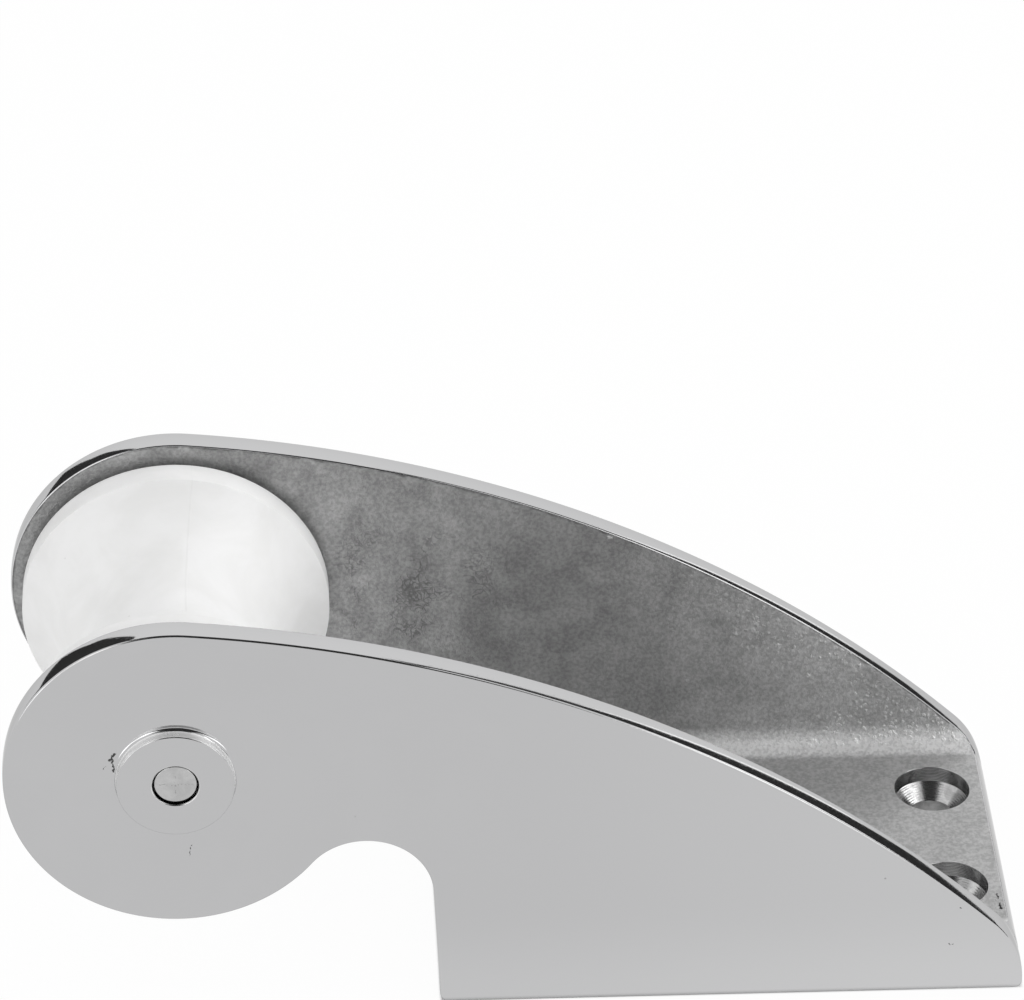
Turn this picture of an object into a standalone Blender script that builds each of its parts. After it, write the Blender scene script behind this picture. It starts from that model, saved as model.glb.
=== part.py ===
"""Bow roller: a cast stainless bracket that carries a nylon roller on a socket-head axle screw.

Frame: +X runs aft, away from the roller, +Z is up, and the origin is at the middle of the base's underside.
Port is -Y and starboard is +Y. Lengths are in metres, written as millimetres times MM.
"""

import math

import bmesh
import bpy
from mathutils import Matrix, Vector

MM = 0.001

# Bracket outline, seen from the side
AXLE_TO_HEEL = 170.0 * MM       # axle centre to the rear face
BASE_LENGTH = 118.0 * MM        # length of the base's underside
AXLE_HEIGHT = 56.0 * MM         # axle centre above the base's underside
NOSE_RADIUS = 34.0 * MM         # round nose of each cheek, about the axle
TOP_RADIUS = 268.0 * MM         # long arc from the nose down to the heel
HEEL_HEIGHT = 9.9 * MM          # height at which the long arc would meet the rear face
HEEL_RADIUS = 20.0 * MM         # rounding between the long arc and the rear face
FRONT_HEIGHT = 27.3 * MM        # front face of the base, up to the arch under the nose
FRONT_DRAFT = math.radians(3.0)  # lean of that face

# Bracket section, seen from the front
INSIDE_WIDTH = 65.0 * MM        # between the cheeks
CHEEK_THICKNESS = 5.0 * MM
BASE_THICKNESS = 11.2 * MM
FLOOR_FILLET = 3.5 * MM         # inner corners between cheeks and base
FRONT_LIP_RADIUS = 2.5 * MM     # top front edge of the base
RIM_ROUND = 0.8 * MM            # polished outer edges of the cheeks

# Bosses on the noses
BOSS_DIAMETER = 23.3 * MM       # across the flat face
BOSS_HEIGHT = 2.2 * MM
BOSS_ROUND = 0.6 * MM           # edge of the face
BOSS_FILLET = 1.0 * MM          # foot of the boss
FOOT_SINK = 0.02 * MM           # the fillet's edge runs this far into the cheek
BORE_CHAMFER = 0.4 * MM         # mouth of each bore

# Countersunk fastening holes in the base
HOLE_INSET = 13.0 * MM          # hole centres from both ends of the base
HOLE_SPACING = 34.0 * MM        # across the base
HOLE_DIAMETER = 9.6 * MM
SINK_DIAMETER = 15.6 * MM
SINK_DEPTH = 3.4 * MM           # straight wall above the cone
SINK_ANGLE = math.radians(90.0)

# Axle screw
SHANK_DIAMETER = 12.0 * MM
THREAD_DIAMETER = 9.0 * MM      # an M10 thread drawn plain at its pitch diameter
HEAD_DIAMETER = 15.5 * MM
HEAD_THICKNESS = 3.0 * MM
HEAD_RECESS = 2.0 * MM          # head face below the boss face
HEAD_CLEARANCE = 0.5 * MM       # radial, in the counterbore
END_RECESS = 0.7 * MM           # threaded end below the other boss face
SCREW_CHAMFER = 0.6 * MM
KEY_SIZE = 7.0 * MM             # hexagon across flats
KEY_DEPTH = 5.0 * MM

# Roller
FLANGE_DIAMETER = 63.0 * MM
WAIST_DIAMETER = 38.6 * MM
LAND_WIDTH = 6.2 * MM           # straight rim at each end
ROLLER_EDGE = 0.8 * MM
BORE_CLEARANCE = 1.2 * MM       # radial, between the roller's bore and the shank

# Thrust washers
WASHER_DIAMETER = 26.0 * MM
WASHER_THICKNESS = 1.0 * MM

SEAT_GAP = 0.3 * MM             # left between pieces that touch

# Facets
NOSE_STEP = math.radians(5.0)
ARCH_STEP = math.radians(10.0)
TOP_STEP = math.radians(1.5)
TURN_STEPS = 48
ROLLER_STEPS = 64
HOLLOW_STEPS = 20               # along the roller's hollow
FILLET_STEPS = 4
EDGE_STEPS = 2
MERGE_DISTANCE = 0.01 * MM

# Places that follow from the sizes
REAR_X = BASE_LENGTH / 2
FRONT_X = -BASE_LENGTH / 2
AXLE_X = REAR_X - AXLE_TO_HEEL
INNER_FACE = INSIDE_WIDTH / 2
OUTER_FACE = INNER_FACE + CHEEK_THICKNESS
BOSS_FACE = OUTER_FACE + BOSS_HEIGHT
HEAD_FACE = BOSS_FACE - HEAD_RECESS
HEAD_SEAT = HEAD_FACE - HEAD_THICKNESS
ROLLER_END = INNER_FACE - WASHER_THICKNESS - 2 * SEAT_GAP
ROLLER_DROP = BORE_CLEARANCE - SEAT_GAP     # the roller hangs on the shank by its clearance
OVERCUT = 20.0 * MM                          # how far cutters stand out of what they cut


def clear_scene():
    for obj in list(bpy.data.objects):
        bpy.data.objects.remove(obj, do_unlink=True)


def new_collection(name):
    collection = bpy.data.collections.new(name)
    bpy.context.scene.collection.children.link(collection)
    return collection


def new_material(name, color, metallic, roughness):
    material = bpy.data.materials.new(name)
    material.use_nodes = True
    shader = material.node_tree.nodes["Principled BSDF"]
    shader.inputs["Base Color"].default_value = (*color, 1.0)
    shader.inputs["Metallic"].default_value = metallic
    shader.inputs["Roughness"].default_value = roughness
    return material


def arc(center, radius, start, end, step):
    """Points on an arc from start to end, both included; the angles are in radians."""
    count = max(2, math.ceil(abs(end - start) / step))
    angles = [start + (end - start) * i / count for i in range(count + 1)]
    return [(center[0] + radius * math.cos(a), center[1] + radius * math.sin(a)) for a in angles]


def without_repeats(points):
    """The closed outline without the points that two neighbouring stretches share."""
    kept = []
    for point in points:
        if not kept or math.dist(point, kept[-1]) > MERGE_DISTANCE:
            kept.append(point)
    if math.dist(kept[0], kept[-1]) < MERGE_DISTANCE:
        kept.pop()
    return kept


def front_x(height):
    """The leaning front face of the base at a height."""
    return FRONT_X - height * math.tan(FRONT_DRAFT)


def arch_circle():
    """Centre and radius of the arch, which leaves the front face at its top and touches the nose."""
    top = Vector((front_x(FRONT_HEIGHT), FRONT_HEIGHT))
    ahead = Vector((-math.cos(FRONT_DRAFT), -math.sin(FRONT_DRAFT)))
    from_axle = top - Vector((AXLE_X, AXLE_HEIGHT))
    radius = (from_axle.length_squared - NOSE_RADIUS ** 2) / (2 * (NOSE_RADIUS - from_axle.dot(ahead)))
    return top + ahead * radius, radius


def top_center():
    """The long arc touches the nose from inside and passes through the heel's corner."""
    axle = (AXLE_X, AXLE_HEIGHT)
    heel = (REAR_X, HEEL_HEIGHT)
    span = math.dist(axle, heel)
    along = (span ** 2 + (TOP_RADIUS - NOSE_RADIUS) ** 2 - TOP_RADIUS ** 2) / (2 * span)
    across = math.sqrt((TOP_RADIUS - NOSE_RADIUS) ** 2 - along ** 2)
    ux, uz = (heel[0] - axle[0]) / span, (heel[1] - axle[1]) / span
    return axle[0] + ux * along + uz * across, axle[1] + uz * along - ux * across


def bracket_outline():
    """The side outline, clockwise from the foot of the front face."""
    axle = (AXLE_X, AXLE_HEIGHT)
    arch, arch_radius = arch_circle()
    top = top_center()
    meet_arch = math.atan2(arch[1] - axle[1], arch[0] - axle[0])
    meet_top = math.atan2(axle[1] - top[1], axle[0] - top[0])
    crest = max(math.pi / 2, meet_top)
    heel_x = REAR_X - HEEL_RADIUS
    heel_z = top[1] + math.sqrt((TOP_RADIUS - HEEL_RADIUS) ** 2 - (heel_x - top[0]) ** 2)
    meet_heel = math.atan2(heel_z - top[1], heel_x - top[0])
    points = [(front_x(0.0), 0.0)]
    points += arc(arch, arch_radius, FRONT_DRAFT, meet_arch + math.pi, ARCH_STEP)
    points += arc(axle, NOSE_RADIUS, meet_arch, -math.pi, NOSE_STEP)
    points += arc(axle, NOSE_RADIUS, math.pi, crest, NOSE_STEP)
    points += arc(axle, NOSE_RADIUS, crest, meet_top, NOSE_STEP)
    points += arc(top, TOP_RADIUS, meet_top, meet_heel, TOP_STEP)
    points += arc((heel_x, heel_z), HEEL_RADIUS, meet_heel, 0.0, NOSE_STEP)
    points += [(REAR_X, 0.0)]
    return without_repeats(points)


def channel_outline():
    """What is cut away between the cheeks: all above the base and all ahead of it."""
    ahead = AXLE_X - NOSE_RADIUS - OVERCUT
    above = AXLE_HEIGHT + NOSE_RADIUS + OVERCUT
    lip_z = BASE_THICKNESS - FRONT_LIP_RADIUS
    lip_x = front_x(lip_z) + FRONT_LIP_RADIUS / math.cos(FRONT_DRAFT)
    points = [(ahead, -OVERCUT), (front_x(-OVERCUT), -OVERCUT)]
    points += arc((lip_x, lip_z), FRONT_LIP_RADIUS, math.pi + FRONT_DRAFT, math.pi / 2, ARCH_STEP * 2)
    points += [(REAR_X + OVERCUT, BASE_THICKNESS), (REAR_X + OVERCUT, above), (ahead, above)]
    return without_repeats(points)


def extruded(name, outline, half_width, rounding, rounding_steps, collection):
    """A flat outline in the XZ plane, extruded both ways along Y with its rims rounded."""
    curve = bpy.data.curves.new(name, "CURVE")
    curve.dimensions = "2D"
    curve.fill_mode = "BOTH"
    curve.extrude = half_width - rounding
    curve.bevel_depth = rounding
    curve.bevel_resolution = rounding_steps - 1
    curve.offset = -rounding
    spline = curve.splines.new("POLY")
    spline.points.add(len(outline) - 1)
    for point, (x, z) in zip(spline.points, outline):
        point.co = (x, z, 0.0, 1.0)
    spline.use_cyclic_u = True
    drawn = bpy.data.objects.new(name + "_curve", curve)
    drawn.rotation_euler = (math.pi / 2, 0.0, 0.0)
    collection.objects.link(drawn)
    bpy.context.view_layer.update()
    evaluated = drawn.evaluated_get(bpy.context.evaluated_depsgraph_get())
    mesh = bpy.data.meshes.new_from_object(evaluated)
    obj = bpy.data.objects.new(name, mesh)
    obj.matrix_world = drawn.matrix_world
    collection.objects.link(obj)
    bpy.data.objects.remove(drawn, do_unlink=True)
    bm = bmesh.new()
    bm.from_mesh(mesh)
    bmesh.ops.remove_doubles(bm, verts=bm.verts, dist=MERGE_DISTANCE)
    bmesh.ops.recalc_face_normals(bm, faces=bm.faces)
    bm.to_mesh(mesh)
    bm.free()
    return obj


def turned(name, profile, collection, steps=TURN_STEPS, start=0.0):
    """A closed profile of (radius, height) points, top to bottom, turned about the local Z axis."""
    mesh = bpy.data.meshes.new(name)
    vertices = [(radius * math.cos(start), radius * math.sin(start), height) for radius, height in profile]
    count = len(vertices)
    closed = profile[0][0] > 0.0
    edges = [(i, (i + 1) % count) for i in range(count if closed else count - 1)]
    mesh.from_pydata(vertices, edges, [])
    obj = bpy.data.objects.new(name, mesh)
    collection.objects.link(obj)
    turn = obj.modifiers.new("Turn", "SCREW")
    turn.steps = steps
    turn.render_steps = steps
    turn.use_merge_vertices = True
    turn.merge_threshold = MERGE_DISTANCE
    turn.use_smooth_shade = True
    return obj


def across(obj, x, z, outward):
    """Lays a turned piece along Y: its top points to starboard (+1) or to port (-1)."""
    obj.location = (x, 0.0, z)
    obj.rotation_euler = (-outward * math.pi / 2, 0.0, 0.0)
    return obj


def rounded_corner(radius, height, size, steps):
    """Convex quarter round from the top face out to the side, for a turned profile."""
    return arc((radius - size, height - size), size, math.pi / 2, 0.0, math.pi / 2 / steps)


def boolean(target, other, operation):
    modifier = target.modifiers.new(operation.title(), "BOOLEAN")
    modifier.object = other
    modifier.operation = operation
    modifier.solver = "EXACT"


def as_cutter(obj):
    obj.hide_render = True
    obj.display_type = "WIRE"
    return obj


def boss_profile():
    """Face, rounded edge, wall and hollow foot, down into the cheek."""
    radius = BOSS_DIAMETER / 2
    foot = radius + BOSS_FILLET
    fillet_z = OUTER_FACE + BOSS_FILLET - FOOT_SINK
    root = OUTER_FACE - CHEEK_THICKNESS / 2
    points = [(0.0, BOSS_FACE)]
    points += rounded_corner(radius, BOSS_FACE, BOSS_ROUND, EDGE_STEPS)
    points += arc((foot, fillet_z), BOSS_FILLET, math.pi, math.pi * 1.5, ARCH_STEP * 3)
    points += [(foot, root), (0.0, root)]
    return without_repeats(points)


def bore_profile(*steps):
    """A stepped bore from the boss face inwards, as (radius, floor) pairs, with a chamfer at each mouth."""
    wide = steps[0][0] + 2 * BORE_CHAMFER
    mouth = BOSS_FACE
    points = [(0.0, mouth + OVERCUT), (wide, mouth + OVERCUT), (wide, mouth + BORE_CHAMFER)]
    for radius, floor in steps:
        if mouth < BOSS_FACE:
            points.append((radius + BORE_CHAMFER, mouth))
        points += [(radius, mouth - BORE_CHAMFER), (radius, floor)]
        mouth = floor
    return points + [(0.0, mouth)]


def countersink_profile():
    """Fastening hole from above the base to below it: straight wall, cone, then the through hole."""
    sink = SINK_DIAMETER / 2
    hole = HOLE_DIAMETER / 2
    cone = (sink - hole) / math.tan(SINK_ANGLE / 2)
    wall_foot = BASE_THICKNESS - SINK_DEPTH
    return [(0.0, BASE_THICKNESS + OVERCUT), (sink, BASE_THICKNESS + OVERCUT), (sink, wall_foot),
            (hole, wall_foot - cone), (hole, -OVERCUT), (0.0, -OVERCUT)]


def cast_bracket(parts, cutters, material):
    bracket = extruded("cast_bracket", bracket_outline(), OUTER_FACE, RIM_ROUND, EDGE_STEPS, parts)
    bracket.data.materials.append(material)
    channel = extruded("channel_cut", channel_outline(), INNER_FACE, FLOOR_FILLET, FILLET_STEPS, cutters)
    boolean(bracket, as_cutter(channel), "DIFFERENCE")

    shank_bore = SHANK_DIAMETER / 2 + SEAT_GAP
    counterbore = HEAD_DIAMETER / 2 + HEAD_CLEARANCE
    thread_bore = THREAD_DIAMETER / 2 + SEAT_GAP
    counterbore_floor = HEAD_SEAT - SEAT_GAP
    for side, outward in (("port", -1), ("starboard", 1)):
        boss = across(turned(side + "_boss", boss_profile(), cutters), AXLE_X, AXLE_HEIGHT, outward)
        boolean(bracket, as_cutter(boss), "UNION")
    through = INNER_FACE - OVERCUT / 2
    half_step = math.pi / TURN_STEPS    # the bores' facets lie between those of the bosses
    bores = (
        ("tapped_bore", bore_profile((thread_bore, through)), -1),
        ("head_bore", bore_profile((counterbore, counterbore_floor), (shank_bore, through)), 1),
    )
    for name, profile, outward in bores:
        bore = turned(name, profile, cutters, start=half_step)
        boolean(bracket, as_cutter(across(bore, AXLE_X, AXLE_HEIGHT, outward)), "DIFFERENCE")

    for x in (FRONT_X + HOLE_INSET, REAR_X - HOLE_INSET):
        for y in (-HOLE_SPACING / 2, HOLE_SPACING / 2):
            hole = turned("base_hole_cut", countersink_profile(), cutters)
            hole.location = (x, y, 0.0)
            boolean(bracket, as_cutter(hole), "DIFFERENCE")
    return bracket


def roller(parts, material):
    """Hourglass body: a hollow arc between two straight lands, with a plain bore."""
    rim = FLANGE_DIAMETER / 2
    waist = WAIST_DIAMETER / 2
    bore = SHANK_DIAMETER / 2 + BORE_CLEARANCE
    half = ROLLER_END - LAND_WIDTH
    rise = rim - waist
    hollow = (half ** 2 + rise ** 2) / (2 * rise)
    reach = math.asin(half / hollow)
    corner = rounded_corner(rim, ROLLER_END, ROLLER_EDGE, EDGE_STEPS)
    points = list(corner)
    points += arc((waist + hollow, 0.0), hollow, math.pi - reach, math.pi + reach, 2 * reach / HOLLOW_STEPS)
    points += [(radius, -height) for radius, height in reversed(corner)]
    points += [(bore + BORE_CHAMFER, -ROLLER_END), (bore, -ROLLER_END + BORE_CHAMFER)]
    points += [(bore, ROLLER_END - BORE_CHAMFER), (bore + BORE_CHAMFER, ROLLER_END)]
    body = turned("roller", without_repeats(points), parts, ROLLER_STEPS)
    body.data.materials.append(material)
    return across(body, AXLE_X, AXLE_HEIGHT - ROLLER_DROP, 1)


def axle_screw(parts, cutters, material):
    """Flat head with a hexagon socket, plain shank, and a thinner threaded end behind a shoulder."""
    head = HEAD_DIAMETER / 2
    shank = SHANK_DIAMETER / 2
    thread = THREAD_DIAMETER / 2
    shoulder = -INNER_FACE + SEAT_GAP
    end = -BOSS_FACE + END_RECESS
    profile = [(0.0, HEAD_FACE), (head - SCREW_CHAMFER / 2, HEAD_FACE), (head, HEAD_FACE - SCREW_CHAMFER / 2),
               (head, HEAD_SEAT), (shank, HEAD_SEAT), (shank, shoulder), (thread, shoulder),
               (thread, end + SCREW_CHAMFER), (thread - SCREW_CHAMFER, end), (0.0, end)]
    screw = across(turned("axle_screw", profile, parts), AXLE_X, AXLE_HEIGHT, 1)
    screw.data.materials.append(material)

    mesh = bpy.data.meshes.new("key_socket")
    bm = bmesh.new()
    corner = KEY_SIZE / 2 / math.cos(math.pi / 6)
    lead = SCREW_CHAMFER / 2
    bmesh.ops.create_cone(bm, cap_ends=True, segments=6, radius1=corner, radius2=corner, depth=2 * KEY_DEPTH,
                          matrix=Matrix.Translation((0.0, 0.0, HEAD_FACE)))
    bm.to_mesh(mesh)
    bm.free()
    socket = bpy.data.objects.new("key_socket", mesh)
    cutters.objects.link(socket)
    boolean(screw, as_cutter(across(socket, AXLE_X, AXLE_HEIGHT, 1)), "DIFFERENCE")
    mouth_profile = [(0.0, HEAD_FACE + lead), (corner + lead, HEAD_FACE + lead),
                     (corner - lead, HEAD_FACE - lead), (0.0, HEAD_FACE - lead)]
    mouth = across(turned("key_mouth", mouth_profile, cutters), AXLE_X, AXLE_HEIGHT, 1)
    boolean(screw, as_cutter(mouth), "DIFFERENCE")
    return screw


def thrust_washer(name, outward, parts, material):
    inner = SHANK_DIAMETER / 2 + SEAT_GAP
    outer = WASHER_DIAMETER / 2
    top = INNER_FACE - SEAT_GAP
    profile = [(outer, top), (outer, top - WASHER_THICKNESS), (inner, top - WASHER_THICKNESS), (inner, top)]
    washer = across(turned(name, profile, parts), AXLE_X, AXLE_HEIGHT, outward)
    washer.data.materials.append(material)
    return washer


def main():
    clear_scene()
    parts = new_collection("bow_roller")
    cutters = new_collection("cutters")
    cast_steel = new_material("cast_steel", (0.62, 0.62, 0.62), 1.0, 0.12)
    screw_steel = new_material("screw_steel", (0.60, 0.60, 0.60), 1.0, 0.20)
    nylon = new_material("white_nylon", (0.88, 0.88, 0.87), 0.0, 0.35)
    washer_plastic = new_material("washer_plastic", (0.80, 0.80, 0.78), 0.0, 0.45)
    cast_bracket(parts, cutters, cast_steel)
    roller(parts, nylon)
    axle_screw(parts, cutters, screw_steel)
    thrust_washer("port_thrust_washer", -1, parts, washer_plastic)
    thrust_washer("starboard_thrust_washer", 1, parts, washer_plastic)


main()
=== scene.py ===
import math

import bmesh
import bpy
from mathutils import Matrix, Vector


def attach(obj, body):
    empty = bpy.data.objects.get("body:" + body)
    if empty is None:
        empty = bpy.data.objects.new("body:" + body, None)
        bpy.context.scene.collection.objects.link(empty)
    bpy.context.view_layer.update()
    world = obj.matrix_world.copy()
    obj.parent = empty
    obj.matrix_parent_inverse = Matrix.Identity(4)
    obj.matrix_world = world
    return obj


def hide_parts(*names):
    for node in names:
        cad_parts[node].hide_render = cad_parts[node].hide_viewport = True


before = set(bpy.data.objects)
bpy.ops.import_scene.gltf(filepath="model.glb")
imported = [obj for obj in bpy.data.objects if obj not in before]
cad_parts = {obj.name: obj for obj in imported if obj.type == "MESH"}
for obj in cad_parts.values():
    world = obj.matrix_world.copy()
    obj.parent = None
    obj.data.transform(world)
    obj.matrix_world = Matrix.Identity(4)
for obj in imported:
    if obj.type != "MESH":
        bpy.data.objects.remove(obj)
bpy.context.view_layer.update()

mm = 0.001
fullTurn = 2 * math.pi
mergeDistance = 0.002 * mm
white = (1.0, 1.0, 1.0, 1.0)


cameraView = {
    "azimuth": -2.91,           # degrees, 0 looks along +Y
    "elevation": 32.282,
    "roll": 0.37,
    "distance": 1.159137,
    "target": (-0.043309, 0.0, 0.095637),
    "lens": 205.201,
    "sensor": 36.0,
}


def direction(azimuth, elevation):
    # unit vector, azimuth from -Y
    azimuth, elevation = math.radians(azimuth), math.radians(elevation)
    return Vector((math.sin(azimuth) * math.cos(elevation), -math.cos(azimuth) * math.cos(elevation),
                   math.sin(elevation)))


def addCamera(view):
    azimuth, roll = math.radians(view["azimuth"]), math.radians(view["roll"])
    back = direction(view["azimuth"], view["elevation"])
    right = Vector((math.cos(azimuth), math.sin(azimuth), 0.0))
    up = back.cross(right)
    right, up = (right * math.cos(roll) + up * math.sin(roll), up * math.cos(roll) - right * math.sin(roll))
    data = bpy.data.cameras.new("camera")
    data.sensor_fit = "HORIZONTAL"
    data.sensor_width = view["sensor"]
    data.lens = view["lens"]
    data.clip_start = 0.05
    data.clip_end = 20.0
    camera = bpy.data.objects.new("camera", data)
    place = Matrix((right, up, back)).transposed().to_4x4()
    place.translation = Vector(view["target"]) + back * view["distance"]
    camera.matrix_world = place
    bpy.context.scene.collection.objects.link(camera)
    bpy.context.scene.camera = camera


addCamera(cameraView)
print("camera placed")


def drawPath(bm, start, strokes):
    # draws in the XZ plane: a stroke is the next corner, or (centre, angle, steps) for an arc
    last = bm.verts.new((start[0], 0.0, start[1]))
    for stroke in strokes:
        if len(stroke) == 3:
            center, angle, steps = stroke
            swept = bmesh.ops.spin(bm, geom=[last], cent=(center[0], 0.0, center[1]), axis=(0.0, -1.0, 0.0),
                                   angle=angle, steps=steps, use_duplicate=False)
            last = swept["geom_last"][0]
        else:
            corner = bm.verts.new((stroke[0], 0.0, stroke[1]))
            bm.edges.new((last, corner))
            last = corner


def extrudedSolid(start, strokes, stations):
    # the outline filled and extruded along Y through the stations
    bm = bmesh.new()
    drawPath(bm, start, strokes + [start])
    bmesh.ops.remove_doubles(bm, verts=bm.verts, dist=mergeDistance)
    faces = bmesh.ops.contextual_create(bm, geom=bm.edges)["faces"]
    bmesh.ops.translate(bm, verts=bm.verts, vec=(0.0, stations[0], 0.0))
    for before, after in zip(stations, stations[1:]):
        grown = bmesh.ops.extrude_face_region(bm, geom=faces)["geom"]
        if before != stations[0]:
            bmesh.ops.delete(bm, geom=faces, context="FACES_ONLY")
        faces = [part for part in grown if isinstance(part, bmesh.types.BMFace)]
        bmesh.ops.translate(bm, verts=[part for part in grown if isinstance(part, bmesh.types.BMVert)],
                            vec=(0.0, after - before, 0.0))
    bmesh.ops.recalc_face_normals(bm, faces=bm.faces)
    return bm


def turnedSolid(start, strokes, steps, place, firstAngle=0.0):
    # a profile of (radius, height) strokes turned about Z, then laid in its place
    bm = bmesh.new()
    drawPath(bm, start, strokes)
    bmesh.ops.rotate(bm, verts=bm.verts, cent=(0.0, 0.0, 0.0), matrix=Matrix.Rotation(firstAngle, 3, "Z"))
    bmesh.ops.spin(bm, geom=bm.verts[:] + bm.edges[:], cent=(0.0, 0.0, 0.0), axis=(0.0, 0.0, 1.0),
                   angle=fullTurn, steps=steps, use_merge=True, use_duplicate=False)
    bmesh.ops.remove_doubles(bm, verts=bm.verts, dist=mergeDistance)
    bmesh.ops.transform(bm, matrix=place, verts=bm.verts)
    bmesh.ops.recalc_face_normals(bm, faces=bm.faces)
    return bm


def newPiece(name, bm, *materials):
    mesh = bpy.data.meshes.new(name)
    for face in bm.faces:
        face.smooth = True
    bm.to_mesh(mesh)
    bm.free()
    for material in materials:
        mesh.materials.append(material)
    piece = bpy.data.objects.new(name, mesh)
    bpy.context.scene.collection.objects.link(piece)
    return piece


def combine(piece, tools, operation):
    # applies each cut or join at once; a tool's material comes with its faces
    for tool in tools:
        step = piece.modifiers.new("combine", "BOOLEAN")
        step.object = tool
        step.operation = operation
        step.solver = "EXACT"
        step.material_mode = "TRANSFER"
        bpy.context.view_layer.update()
        made = bpy.data.meshes.new_from_object(piece.evaluated_get(bpy.context.evaluated_depsgraph_get()))
        piece.modifiers.clear()
        old, piece.data = piece.data, made
        bpy.data.meshes.remove(old)
        bpy.data.objects.remove(tool)


def finishEdges(piece, angle=32.0):
    # smooth except across real corners, with flat faces kept flat beside their roundings
    piece.data.shade_smooth()
    piece.data.set_sharp_from_angle(angle=math.radians(angle))
    weighted = piece.modifiers.new("flat faces", "WEIGHTED_NORMAL")
    weighted.keep_sharp = True
    weighted.weight = 100


def across(x, z, outward):
    # lays a turned piece along Y with its top to starboard (+1) or to port (-1)
    return Matrix.Translation((x, 0.0, z)) @ Matrix.Rotation(-outward * math.pi / 2, 4, "X")


def feed(tree, node, inputs):
    # an input is a plain value or the output of another node
    for key, value in inputs.items():
        if isinstance(value, bpy.types.NodeSocket):
            tree.links.new(value, node.inputs[key])
        else:
            node.inputs[key].default_value = value


def put(tree, kind, inputs, output=0, **settings):
    node = tree.nodes.new("ShaderNode" + kind)
    for key, value in settings.items():
        setattr(node, key, value)
    feed(tree, node, inputs)
    return node.outputs[output]


def coordinates(tree, place):
    return put(tree, "SeparateXYZ", {0: place}).node.outputs


def math2(tree, operation, a, b=0.0):
    return put(tree, "Math", {0: a, 1: b}, operation=operation)


def times(tree, a, b):
    return math2(tree, "MULTIPLY", a, b)


def larger(tree, a, b):
    return math2(tree, "MAXIMUM", a, b)


def vector2(tree, operation, a, b=(0.0, 0.0, 0.0)):
    # DISTANCE, LENGTH and DOT_PRODUCT give a number, the others a vector
    number = operation in ("DISTANCE", "LENGTH", "DOT_PRODUCT")
    return put(tree, "VectorMath", {0: a, 1: b}, output=int(number), operation=operation)


def scaled(tree, vector, share):
    return put(tree, "VectorMath", {0: vector, "Scale": share}, operation="SCALE")


def noise(tree, place, scale, detail, output=0):
    # output 0 is gray, 1 a colour
    return put(tree, "TexNoise", {"Vector": place, "Scale": scale, "Detail": detail}, output=output)


def ramp(tree, value, low, high, start=0.0, stop=1.0):
    # start below low, stop above high, eased between them
    return put(tree, "MapRange", {"Value": value, "From Min": low, "From Max": high,
                                  "To Min": start, "To Max": stop}, interpolation_type="SMOOTHSTEP")


def mixed(tree, share, a, b):
    return put(tree, "Mix", {0: share, 2: a, 3: b}, data_type="FLOAT")


def tinted(tree, share, a, b):
    return put(tree, "Mix", {0: share, 6: a, 7: b}, output=2, data_type="RGBA")


def newGroup(name, inputs, outputs):
    tree = bpy.data.node_groups.new(name, "ShaderNodeTree")
    for label, value in inputs.items():
        kind = "NodeSocketVector" if label in ("Vector", "From", "To") else "NodeSocketFloat"
        tree.interface.new_socket(label, in_out="INPUT", socket_type=kind).default_value = value
    for label in outputs:
        tree.interface.new_socket(label, in_out="OUTPUT", socket_type="NodeSocketFloat")
    return tree, tree.nodes.new("NodeGroupInput").outputs, tree.nodes.new("NodeGroupOutput").inputs


def use(tree, group, output, **inputs):
    # places a shared effect with its own values
    return put(tree, "Group", inputs, output=output, node_tree=group)


def makeCastSkin():
    # skin of a sand casting: a fine peel, and slow clouds of tone
    inputs = {"Vector": (0, 0, 0), "Grain": 700.0, "Clouds": 60.0}
    tree, given, wanted = newGroup("castSkin", inputs, ["Peel", "Cloud"])
    coarse = noise(tree, given["Vector"], given["Grain"], 2.0)
    fine = noise(tree, given["Vector"], times(tree, given["Grain"], 2.7), 2.0)
    fine.node.inputs["Roughness"].default_value = 0.6
    tree.links.new(mixed(tree, 0.35, coarse, fine), wanted["Peel"])
    cloud = put(tree, "TexNoise", {"Vector": given["Vector"], "Scale": given["Clouds"], "Detail": 4.0,
                                   "Roughness": 0.62, "Distortion": 0.5})
    tree.links.new(ramp(tree, cloud, 0.32, 0.68), wanted["Cloud"])
    return tree


def makeSpecks():
    # scattered round grains or pits: one in some of the cells
    inputs = {"Vector": (0, 0, 0), "Scale": 400.0, "Size": 0.2, "Amount": 0.3}
    tree, given, wanted = newGroup("specks", inputs, ["Mask"])
    cell = put(tree, "TexVoronoi", {"Vector": given["Vector"], "Scale": given["Scale"]}).node.outputs
    spot = ramp(tree, math2(tree, "DIVIDE", cell["Distance"], given["Size"]), 0.4, 1.0, 1.0, 0.0)
    draw = put(tree, "SeparateColor", {"Color": cell["Color"]})
    chosen = math2(tree, "LESS_THAN", draw, given["Amount"])
    tree.links.new(times(tree, spot, chosen), wanted["Mask"])
    return tree


def makeVeins():
    # broken hair lines left by the mould
    inputs = {"Vector": (0, 0, 0), "Scale": 60.0, "Width": 0.03}
    tree, given, wanted = newGroup("veins", inputs, ["Mask"])
    wander = noise(tree, given["Vector"], 160.0, 3.0, output=1)
    place = vector2(tree, "ADD", given["Vector"], scaled(tree, wander, 0.012))
    edge = put(tree, "TexVoronoi", {"Vector": place, "Scale": given["Scale"]}, feature="DISTANCE_TO_EDGE")
    line = ramp(tree, math2(tree, "DIVIDE", edge, given["Width"]), 0.2, 1.0, 1.0, 0.0)
    broken = ramp(tree, noise(tree, given["Vector"], 110.0, 2.0), 0.46, 0.6)
    tree.links.new(times(tree, line, broken), wanted["Mask"])
    return tree


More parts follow.
